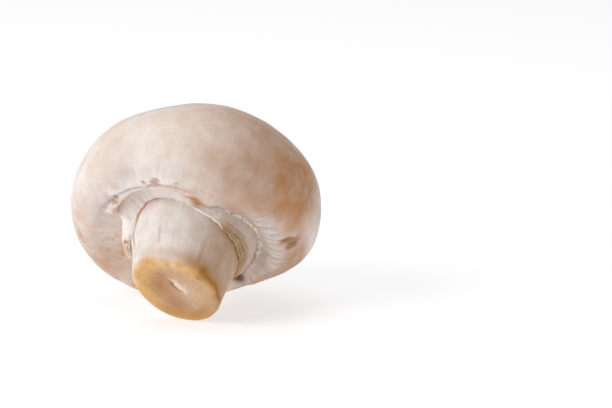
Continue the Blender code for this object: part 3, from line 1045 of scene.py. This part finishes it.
def make_gills():
    """Build the ring of fine blades under the cap's flesh."""
    inner = STEM_RADIUS + STEM_SHIFT_X + 2.0 * GAP
    outer = CHAMBER_RADIUS - 0.8
    top = CHAMBER_CEILING_Z - GAP
    root = top - GILL_ROOT
    high = [(inner, top), (outer - 1.6, top), (outer - 0.3, root + 0.1)]
    low = line((outer - 0.6, root), (inner, root), 14)
    profile = np.concatenate([high, low, [(inner, root + 0.02)]])
    radius, phi, z = sweep(profile, GILL_COUNT * GILL_COLUMNS)
    place = (phi / 360.0 * GILL_COUNT) % 1.0
    blade = smooth(0.12, 0.34, place) * smooth(0.78, 0.56, place)
    arch = 1.0 - ((radius - inner) / (outer - inner)) ** 2
    depth = GILL_DEPTH * (0.25 + 0.75 * arch) * (1 + 0.10 * ripple(phi, 20, 60))
    z = z - np.where(z < root + 0.01, blade * depth, 0.0)
    points = to_points(radius, phi, z)
    return grid_piece("gills", points, True, {}, {})


# ---------------- fibres

BRIDGE_COUNT = 90
FLAP_HAIR_COUNT = 180
TOOTH_COUNT = 210
COTTON_COUNT = 120
HAIR_SIDE = (0.3, 0.5, 0.81)  # any direction that no hair runs along
HAIR_END = 0.25  # where on a half wave of thickness a hair starts and ends


def make_hairs(name, seed, count, draw):
    """Build thin tapering hairs, each a closed four-sided tube along a path that draw() returns."""
    random = np.random.default_rng(seed)
    points, faces = [], []
    start = 0
    for place in range(count):
        path, width = draw(random, place)
        step = np.gradient(path, axis=0)
        step /= np.linalg.norm(step, axis=1, keepdims=True) + 1e-9
        side = np.cross(step, HAIR_SIDE)
        side /= np.linalg.norm(side, axis=1, keepdims=True) + 1e-9
        other = np.cross(step, side)
        taper = np.sin(np.linspace(HAIR_END, np.pi - HAIR_END, len(path)))[:, None] * width
        ring = np.stack([side * taper, other * taper, -side * taper, -other * taper], 1) + path[:, None]
        points.append(ring.reshape(-1, 3))
        end = start + 4 * (len(path) - 1)
        for low in range(start, end, 4):
            for j in range(4):
                k = (j + 1) % 4
                faces.append((low + j, low + k, low + k + 4, low + j + 4))
        faces.append((start + 3, start + 2, start + 1, start))
        faces.append((end, end + 1, end + 2, end + 3))
        start = end + 4
    return make_object(name, np.concatenate(points), faces, {}, {}, MATERIALS["fibre"], ())


def bridge(random, place):
    """Return path and width of a hair that still joins veil and stem."""
    share = np.linspace(0.0, 1.0, 8)
    phi = random.uniform(-98, -58)
    top_z = -8.5 - random.uniform(0, 0.5)
    height = top_z - random.uniform(0.8, 3) * share
    direction = phi + random.uniform(-3, 3) * share
    shift = STEM_SHIFT_X * np.cos(np.radians(direction))
    radius = stem_radius(height) + shift + 0.05 * (1.0 - share)
    return to_points(radius, direction, height), random.uniform(0.05, 0.11)


def flap_hair(random, place):
    """Return path and width of a ragged hair between the veil's torn flap and the stem."""
    share = np.linspace(0.0, 1.0, 7)
    phi = random.uniform(-190, -158)
    shift = STEM_SHIFT_X * np.cos(np.radians(phi))
    top_z = LIP_Z - sag(phi) - random.uniform(2.2, 4.6)
    height = top_z - random.uniform(0.4, 2) * share
    stand = (1.5 - 1.3 * share) * random.uniform(0.25, 1.15)
    direction = phi + random.normal(0, 4) * share
    return to_points(stem_radius(height) + shift + stand, direction, height), random.uniform(0.04, 0.10)


def cotton_hair(random, place):
    """Return path and width of a hair of the cap's inner margin: teeth first, then long flat hairs."""
    share = np.linspace(0.0, 1.0, 7)
    tooth = place < TOOTH_COUNT
    phi = random.uniform(-52, 22) if tooth else random.uniform(-26, 40)
    crest = LIP_RADIUS + LIP_ROLL + float(along(LIP_SHIFT, np.array(phi)))
    start = crest + (random.uniform(-0.3, 0.7) if tooth else random.uniform(0.6, 4.4))
    radius = start - random.uniform(0.5, 1.5 if tooth else 2.6) * share
    direction = phi + random.normal(0, 2.2) * share
    lift = 0.03 + random.uniform(0, 0.07) * np.sin(np.pi * share)
    under_z = LIP_Z - 1.25 - 0.80 * smooth(crest, MARGIN_RADIUS, radius) - sag(direction)
    inside = smooth(crest - 0.2, crest - 1.6, radius)
    return to_points(radius, direction, under_z - lift + 0.3 * inside), random.uniform(0.035, 0.085)


# ---------------- stage

def make_floor():
    """Lay a wide pale floor."""
    bpy.ops.mesh.primitive_plane_add(size=FLOOR_SIZE, location=(0.0, 0.0, 0.0))
    floor = bpy.context.object
    floor.name = "floor"
    floor.data.materials.append(floor_material())


def make_light(name, location, size, power, colour, target=(0.0, 0.0, 0.02)):
    """Add a square soft light that looks at the mushroom."""
    data = bpy.data.lights.new(name, "AREA")
    data.shape = "SQUARE"
    data.size = size
    data.energy = power
    data.color = colour
    light = bpy.data.objects.new(name, data)
    bpy.context.scene.collection.objects.link(light)
    light.location = location
    aim = np.array(target) - np.array(location)
    light.rotation_euler = Vector(aim).to_track_quat("-Z", "Y").to_euler()


def make_lights():
    """Light the stage softly from the upper left and front, with a pale sky."""
    make_light("key", (-0.80, -0.45, 0.60), size=0.6, power=6.0, colour=(1.0, 0.99, 0.98))
    make_light("top", (-0.1, 0.1, 1.0), size=0.8, power=3.0, colour=(1.0, 1.0, 1.0))
    world = bpy.data.worlds.new("studio")
    bpy.context.scene.world = world
    world.use_nodes = True
    back = world.node_tree.nodes["Background"]
    back.inputs["Color"].default_value = (1.0, 1.0, 1.0, 1.0)
    back.inputs["Strength"].default_value = SKY_STRENGTH


def make_camera():
    """Place the camera at its elevation, aimed beside the mushroom."""
    data = bpy.data.cameras.new("camera")
    data.lens = VIEW_LENS
    data.sensor_width = VIEW_SENSOR
    camera = bpy.data.objects.new("camera", data)
    bpy.context.scene.collection.objects.link(camera)
    rise = radians(VIEW_ELEVATION)
    back = np.array((0.0, -np.cos(rise), np.sin(rise)))
    camera.location = (np.array(VIEW_AIM) + back * VIEW_DISTANCE) * MM
    camera.rotation_euler = (radians(90.0 - VIEW_ELEVATION), 0.0, 0.0)
    bpy.context.scene.camera = camera
    bpy.context.scene.view_settings.view_transform = "Standard"


def pose_shift():
    """Return where the mushroom's own origin lies in the row frame, in mm, from the cap's node.

    A coarse turn of the cap, with every third ring, is enough to find its middle.
    """
    radius, phi, z = sweep(cap_profile()[::3], 90)
    turned = cap_shape(radius, phi, z) @ lying_matrix().T
    low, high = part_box("cap")
    shift = [0.0, 0.0, LIE_HEIGHT]
    for axis in (0, 1):
        middle = 0.5 * (low[axis] + high[axis]) / MM
        shift[axis] = middle - 0.5 * (turned[..., axis].min() + turned[..., axis].max())
    return np.array(shift)


POSE_SHIFT = pose_shift()
MATERIALS = {
    "cap": cap_material(),
    "stem": stem_material(),
    "veil": veil_material(),
    "gills": gill_material(),
    "fibre": fibre_material(),
}
make_cap()
make_stem()
make_veil()
make_gills()
make_hairs("veil_fibres", 5, BRIDGE_COUNT, bridge)
make_hairs("flap_hairs", 12, FLAP_HAIR_COUNT, flap_hair)
make_hairs("cap_cotton", 8, TOOTH_COUNT + COTTON_COUNT, cotton_hair)
make_floor()
make_lights()
make_camera()
